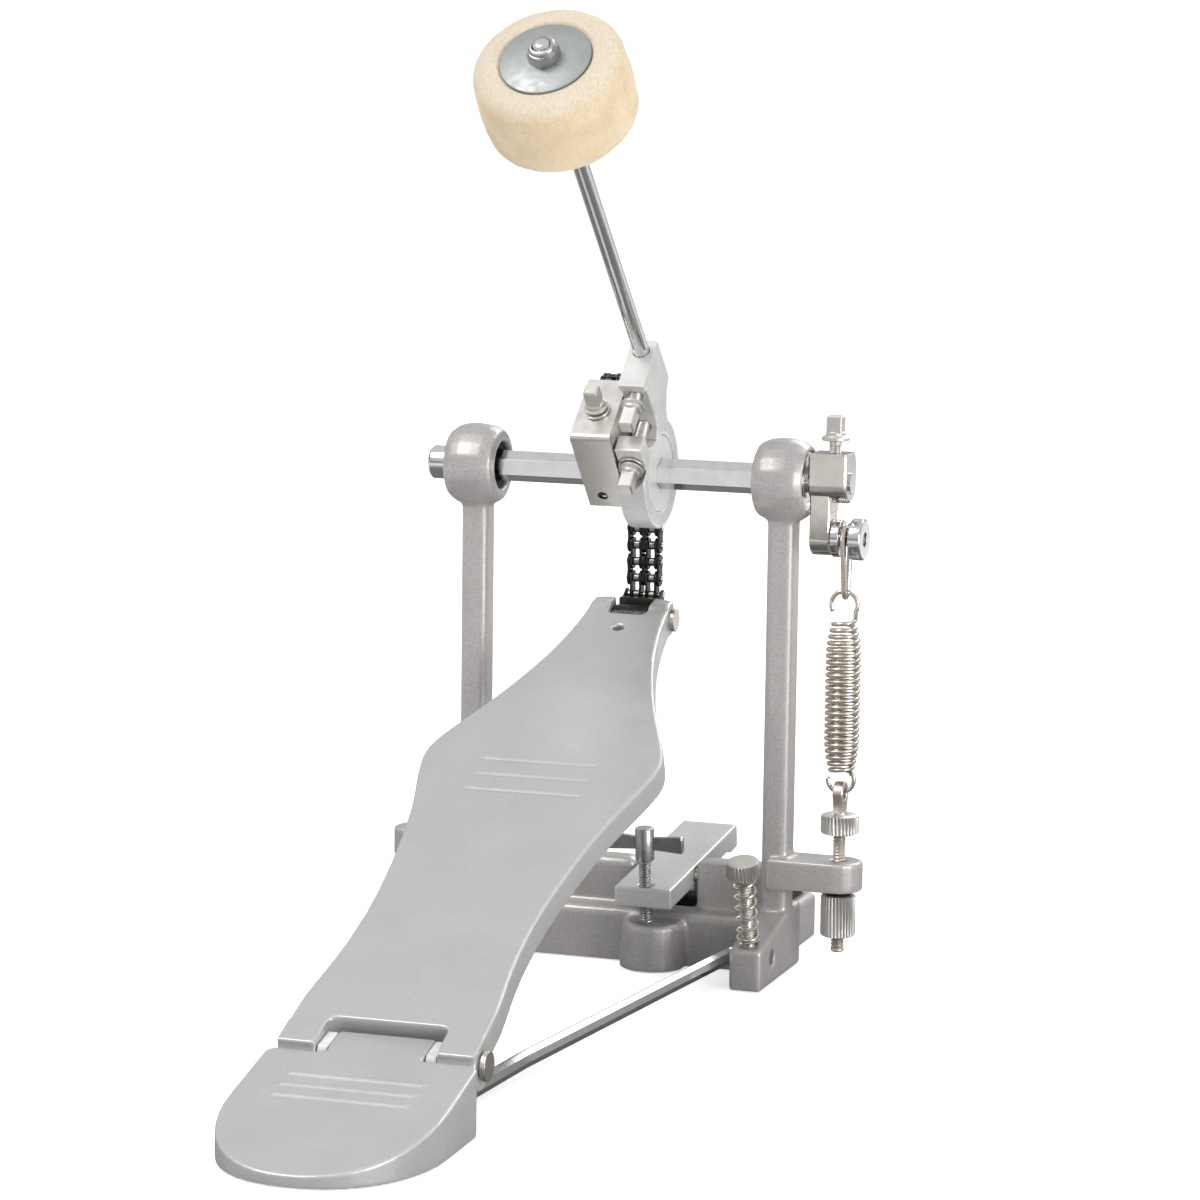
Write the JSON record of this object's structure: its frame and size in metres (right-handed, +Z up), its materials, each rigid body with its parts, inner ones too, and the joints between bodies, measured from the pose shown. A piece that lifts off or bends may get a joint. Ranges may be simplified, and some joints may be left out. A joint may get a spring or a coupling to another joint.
{
  "type": "bass drum pedal",
  "caption": "Single bass drum pedal: a hinged footboard pulls a chain over a cam, which swings a felt beater, and a side spring returns it.",
  "frame": {"origin": "on the floor, straight under the middle of the drive shaft", "axes": "+X to the drummer's right along the shaft, +Y towards the drum, +Z up"},
  "size_m": [0.1854, 0.3935, 0.3545],
  "materials": {
    "cast_paint": "fine metallic silver paint on castings",
    "cast_aluminium": "satin cast and machined",
    "nickel": "bright nickel plate",
    "satin_nickel": "satin nickel plate on bent sheet",
    "chrome": "bright chrome plate",
    "black_steel": "blackened steel",
    "black_rubber": "matte",
    "white_nylon": "moulded",
    "felt": "hard pressed wool felt"
  },
  "bodies": {
    "frame": {"frame_casting": "cast_paint", "hoop_pad": "black_rubber", "shaft_bearing_left": "chrome", "shaft_bearing_right": "chrome", "shaft_seal_left": "black_rubber", "shaft_seal_right": "black_rubber", "radius_rod": "chrome", "heel_plate": "cast_paint", "heel_pin": "nickel", "heel_washer_left": "white_nylon", "heel_washer_right": "white_nylon", "clamp_pin": "nickel", "tension_rod": "nickel", "lock_washer": "black_steel"},
    "shaft": {"drive_shaft": "chrome", "shaft_cap": "chrome", "cam_bracket": "satin_nickel", "chain_cam": "black_steel", "cam_screw": "nickel", "cam_washer": "nickel", "chain_wrap": "black_steel", "hub_insert": "cast_aluminium", "rocker_lever": "chrome", "rocker_key_screw": "nickel", "rocker_cap_screw": "chrome"},
    "roller": {"rocker_roller": "chrome"},
    "hub": {"beater_hub": "cast_aluminium", "rod_lock_screw": "nickel", "hub_clamp_screw": "nickel", "hub_clamp_washer": "nickel"},
    "beater": {"beater_rod": "chrome", "beater_felt": "felt", "felt_washer_front": "nickel", "felt_washer_back": "nickel", "beater_nut": "nickel"},
    "board": {"footboard": "cast_paint", "toe_pin": "nickel", "toe_anchor": "black_steel"},
    "link_1": {"chain_link_1": "black_steel"},
    "link_2": {"chain_link_2": "black_steel"},
    "link_3": {"chain_link_3": "black_steel"},
    "link_4": {"chain_link_4": "black_steel"},
    "link_5": {"chain_link_5": "black_steel"},
    "hanging_chain": {"chain_run": "black_steel"},
    "spring": {"tension_spring": "nickel"},
    "spring_loop": {"spring_link": "chrome"},
    "upper_nut": {"upper_knurled_nut": "nickel"},
    "lower_nut": {"lower_knurled_nut": "nickel"},
    "clamp": {"clamp_plate": "cast_paint"},
    "wing": {"wing_bolt": "nickel"},
    "spur_left": {"spur_screw_left": "nickel", "spur_spring_left": "nickel"},
    "spur_right": {"spur_screw_right": "nickel", "spur_spring_right": "nickel"}
  },
  "joints": [
    {"name": "shaft_turn", "type": "hinge", "parent": "frame", "child": "shaft", "pos_m": [0, 0, 0.184], "axis": [-1, 0, 0], "range_deg": [0, 48], "stiffness_Nm_per_rad": 0.02},
    {"name": "beater_angle", "type": "hinge", "parent": "shaft", "child": "hub", "pos_m": [0.0074, 0, 0.184], "axis": [-1, 0, 0], "range_deg": [-20, 20]},
    {"name": "beater_height", "type": "slide", "parent": "hub", "child": "beater", "axis": [0, -0.7083, 0.7059], "range_m": [-0.045, 0.008]},
    {"name": "roller_spin", "type": "hinge", "parent": "shaft", "child": "roller", "pos_m": [0.0837, 0, 0.1635], "axis": [1, 0, 0], "continuous": true},
    {"name": "board_hinge", "type": "hinge", "parent": "frame", "child": "board", "pos_m": [0.0012, -0.247, 0.0205], "axis": [-0.9998, -0.0192, 0], "range_deg": [-1, 6]},
    {"name": "chain_bend_1", "type": "hinge", "parent": "shaft", "child": "link_1", "pos_m": [-0.0046, 0.01951, 0.21123], "axis": [-1, 0, 0], "range_deg": [-12, 2]},
    {"name": "chain_bend_2", "type": "hinge", "parent": "link_1", "child": "link_2", "pos_m": [-0.0046, 0.0243, 0.20706], "axis": [-1, 0, 0], "range_deg": [-12, 2]},
    {"name": "chain_bend_3", "type": "hinge", "parent": "link_2", "child": "link_3", "pos_m": [-0.0046, 0.02821, 0.20206], "axis": [-1, 0, 0], "range_deg": [-12, 2]},
    {"name": "chain_bend_4", "type": "hinge", "parent": "link_3", "child": "link_4", "pos_m": [-0.0046, 0.03111, 0.19642], "axis": [-1, 0, 0], "range_deg": [-12, 2]},
    {"name": "chain_bend_5", "type": "hinge", "parent": "link_4", "child": "link_5", "pos_m": [-0.0046, 0.0329, 0.19032], "axis": [-1, 0, 0], "range_deg": [-12, 2]},
    {"name": "chain_hang", "type": "hinge", "parent": "link_5", "child": "hanging_chain", "pos_m": [-0.0046, 0.0335, 0.184], "axis": [-1, 0, 0], "range_deg": [-12, 2]},
    {"name": "spring_swing", "type": "hinge", "parent": "frame", "child": "spring", "pos_m": [0.0837, 0, 0.069], "axis": [1, 0, 0], "range_deg": [-2, 10]},
    {"name": "spring_stretch", "type": "slide", "parent": "spring", "child": "spring_loop", "axis": [0, 0, 1], "range_m": [-0.002, 0.01], "deforming": ["tension_spring"]},
    {"name": "upper_nut_turn", "type": "hinge", "parent": "frame", "child": "upper_nut", "pos_m": [0.0837, 0, 0.0572], "axis": [0, 0, 1], "continuous": true},
    {"name": "lower_nut_turn", "type": "hinge", "parent": "frame", "child": "lower_nut", "pos_m": [0.0837, 0, 0.023], "axis": [0, 0, 1], "continuous": true},
    {"name": "clamp_close", "type": "hinge", "parent": "frame", "child": "clamp", "pos_m": [0.0155, 0.0065, 0.032], "axis": [-1, 0, 0], "range_deg": [-5, 9]},
    {"name": "wing_travel", "type": "slide", "parent": "clamp", "child": "wing", "axis": [0, 0.1132, -0.9936], "range_m": [-0.004, 0.006]},
    {"name": "spur_travel_left", "type": "slide", "parent": "frame", "child": "spur_left", "axis": [0, -0.2706, 0.9627], "range_m": [-0.006, 0.012], "deforming": ["spur_spring_left"]},
    {"name": "spur_travel_right", "type": "slide", "parent": "frame", "child": "spur_right", "axis": [0, -0.2706, 0.9627], "range_m": [-0.006, 0.012], "deforming": ["spur_spring_right"]}
  ],
  "couplings": [
    {"joint": "board_hinge", "follows": "shaft_turn", "ratio": 0.1165},
    {"joint": "chain_bend_1", "follows": "shaft_turn", "ratio": -0.19},
    {"joint": "chain_bend_2", "follows": "shaft_turn", "ratio": -0.19},
    {"joint": "chain_bend_3", "follows": "shaft_turn", "ratio": -0.19},
    {"joint": "chain_bend_4", "follows": "shaft_turn", "ratio": -0.19},
    {"joint": "chain_bend_5", "follows": "shaft_turn", "ratio": -0.19},
    {"joint": "chain_hang", "follows": "shaft_turn", "ratio": -0.19},
    {"joint": "spring_swing", "follows": "shaft_turn", "ratio": 0.178},
    {"joint": "spring_stretch", "follows": "shaft_turn", "m_per_rad": 0.0093},
    {"joint": "wing_travel", "follows": "clamp_close", "m_per_rad": 0.027}
  ]
}
